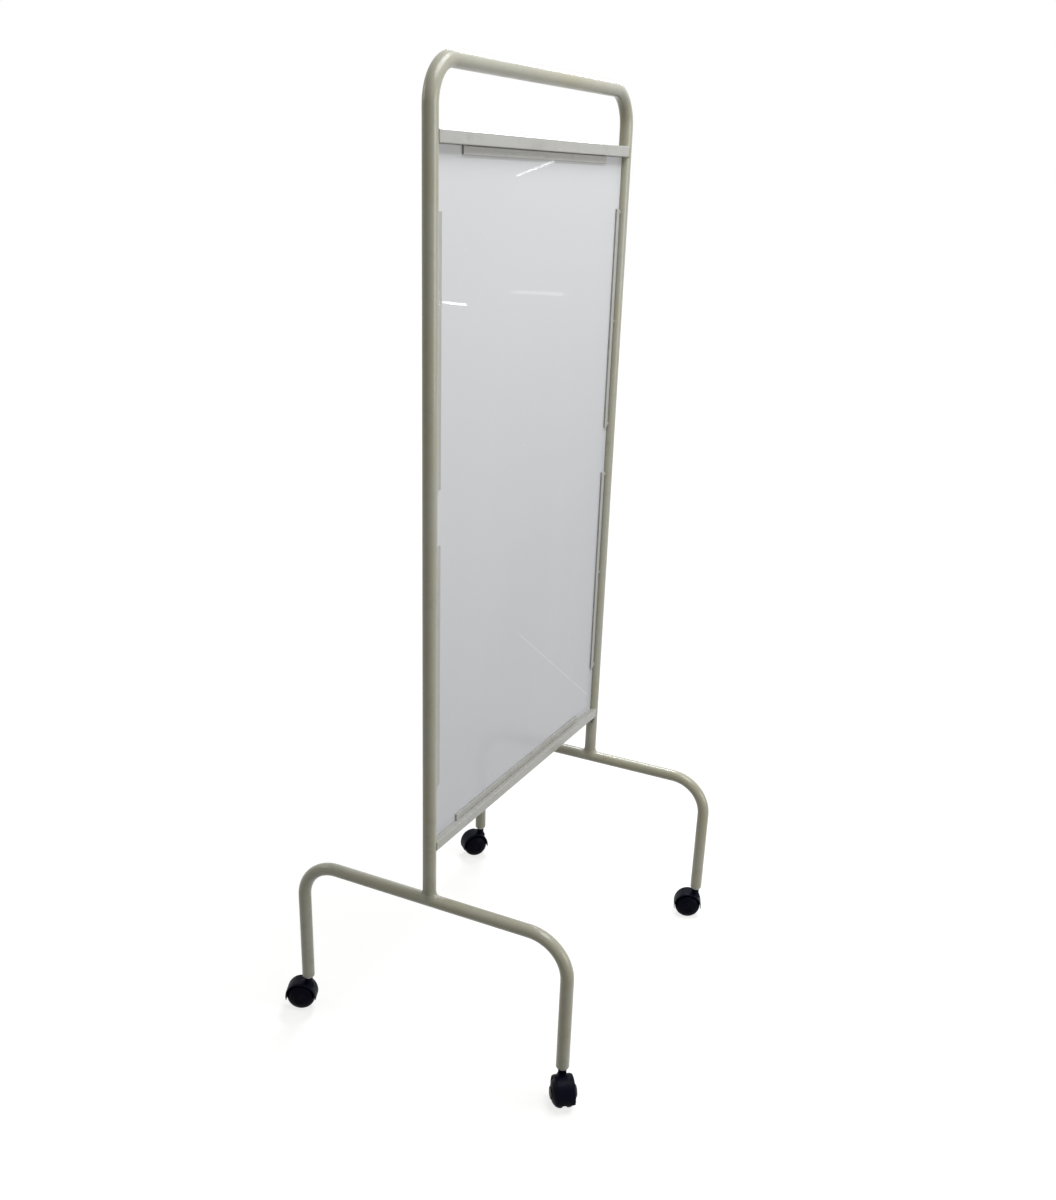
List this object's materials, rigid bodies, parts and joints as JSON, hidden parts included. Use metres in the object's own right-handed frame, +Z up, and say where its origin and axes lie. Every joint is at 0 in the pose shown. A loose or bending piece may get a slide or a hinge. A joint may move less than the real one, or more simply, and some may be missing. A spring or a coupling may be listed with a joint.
{
  "type": "rolling partition",
  "caption": "Upright rigid panel in a bent round-tube hoop frame with crossbars, on splayed bent-tube feet with hooded twin-wheel swivel casters.",
  "frame": {"origin": "on the floor at the centre of the bounding box of the footprint, wheels standing on z = 0", "axes": "+X along the width from the left foot to the right foot, +Y from the panel front to its back, +Z up"},
  "size_m": [0.8072, 0.6754, 1.7717],
  "materials": {
    "frame_paint": "satin cream-grey paint",
    "panel_sheet": "glossy off-white sheet",
    "zinc_screw": "zinc plated",
    "bright_steel": "bright turned steel",
    "socket_plastic": "moulded grey",
    "caster_plastic": "moulded black, satin"
  },
  "bodies": {
    "frame": {"hoop_tube": "frame_paint", "upper_crossbar": "frame_paint", "lower_crossbar": "frame_paint", "left_foot_tube": "frame_paint", "right_foot_tube": "frame_paint", "panel_sheet": "panel_sheet", "upper_front_strip": "frame_paint", "lower_front_strip": "frame_paint", "left_upper_front_strip": "frame_paint", "left_lower_front_strip": "frame_paint", "right_upper_front_strip": "frame_paint", "right_lower_front_strip": "frame_paint", "upper_rear_bead": "frame_paint", "lower_rear_bead": "frame_paint", "left_rear_bead": "frame_paint", "right_rear_bead": "frame_paint", "upper_bead_screw_left": "zinc_screw", "upper_bead_screw_right": "zinc_screw", "lower_bead_screw_left": "zinc_screw", "lower_bead_screw_right": "zinc_screw", "left_bead_screw_upper": "zinc_screw", "left_bead_screw_middle": "zinc_screw", "left_bead_screw_lower": "zinc_screw", "right_bead_screw_upper": "zinc_screw", "right_bead_screw_middle": "zinc_screw", "right_bead_screw_lower": "zinc_screw", "left_front_leg_socket": "socket_plastic", "left_back_leg_socket": "socket_plastic", "right_front_leg_socket": "socket_plastic", "right_back_leg_socket": "socket_plastic"},
    "left_front_swivel": {"left_front_grip_ring": "bright_steel", "left_front_stem": "bright_steel", "left_front_hood": "caster_plastic", "left_front_axle": "bright_steel"},
    "left_front_wheel_a": {"left_front_wheel_a": "caster_plastic"},
    "left_front_wheel_b": {"left_front_wheel_b": "caster_plastic"},
    "left_back_swivel": {"left_back_grip_ring": "bright_steel", "left_back_stem": "bright_steel", "left_back_hood": "caster_plastic", "left_back_axle": "bright_steel"},
    "left_back_wheel_a": {"left_back_wheel_a": "caster_plastic"},
    "left_back_wheel_b": {"left_back_wheel_b": "caster_plastic"},
    "right_front_swivel": {"right_front_grip_ring": "bright_steel", "right_front_stem": "bright_steel", "right_front_hood": "caster_plastic", "right_front_axle": "bright_steel"},
    "right_front_wheel_a": {"right_front_wheel_a": "caster_plastic"},
    "right_front_wheel_b": {"right_front_wheel_b": "caster_plastic"},
    "right_back_swivel": {"right_back_grip_ring": "bright_steel", "right_back_stem": "bright_steel", "right_back_hood": "caster_plastic", "right_back_axle": "bright_steel"},
    "right_back_wheel_a": {"right_back_wheel_a": "caster_plastic"},
    "right_back_wheel_b": {"right_back_wheel_b": "caster_plastic"}
  },
  "joints": [
    {"name": "left_front_swivel", "type": "hinge", "parent": "frame", "child": "left_front_swivel", "pos_m": [-0.35496, -0.29468, 0.09], "axis": [0, 0, 1], "continuous": true},
    {"name": "left_front_wheel_a_spin", "type": "hinge", "parent": "left_front_swivel", "child": "left_front_wheel_a", "pos_m": [-0.36774, -0.30431, 0.029], "axis": [0.6018, -0.7986, 0], "continuous": true},
    {"name": "left_front_wheel_b_spin", "type": "hinge", "parent": "left_front_swivel", "child": "left_front_wheel_b", "pos_m": [-0.36774, -0.30431, 0.029], "axis": [0.6018, -0.7986, 0], "continuous": true},
    {"name": "left_back_swivel", "type": "hinge", "parent": "frame", "child": "left_back_swivel", "pos_m": [-0.35496, 0.28732, 0.09], "axis": [0, 0, 1], "continuous": true},
    {"name": "left_back_wheel_a_spin", "type": "hinge", "parent": "left_back_swivel", "child": "left_back_wheel_a", "pos_m": [-0.36172, 0.30182, 0.029], "axis": [-0.9063, -0.4226, 0], "continuous": true},
    {"name": "left_back_wheel_b_spin", "type": "hinge", "parent": "left_back_swivel", "child": "left_back_wheel_b", "pos_m": [-0.36172, 0.30182, 0.029], "axis": [-0.9063, -0.4226, 0], "continuous": true},
    {"name": "right_front_swivel", "type": "hinge", "parent": "frame", "child": "right_front_swivel", "pos_m": [0.38004, -0.29468, 0.09], "axis": [0, 0, 1], "continuous": true},
    {"name": "right_front_wheel_a_spin", "type": "hinge", "parent": "right_front_swivel", "child": "right_front_wheel_a", "pos_m": [0.37431, -0.27974, 0.029], "axis": [-0.9336, -0.3584, 0], "continuous": true},
    {"name": "right_front_wheel_b_spin", "type": "hinge", "parent": "right_front_swivel", "child": "right_front_wheel_b", "pos_m": [0.37431, -0.27974, 0.029], "axis": [-0.9336, -0.3584, 0], "continuous": true},
    {"name": "right_back_swivel", "type": "hinge", "parent": "frame", "child": "right_back_swivel", "pos_m": [0.38004, 0.28732, 0.09], "axis": [0, 0, 1], "continuous": true},
    {"name": "right_back_wheel_a_spin", "type": "hinge", "parent": "right_back_swivel", "child": "right_back_wheel_a", "pos_m": [0.36834, 0.29823, 0.029], "axis": [-0.682, -0.7314, 0], "continuous": true},
    {"name": "right_back_wheel_b_spin", "type": "hinge", "parent": "right_back_swivel", "child": "right_back_wheel_b", "pos_m": [0.36834, 0.29823, 0.029], "axis": [-0.682, -0.7314, 0], "continuous": true}
  ]
}
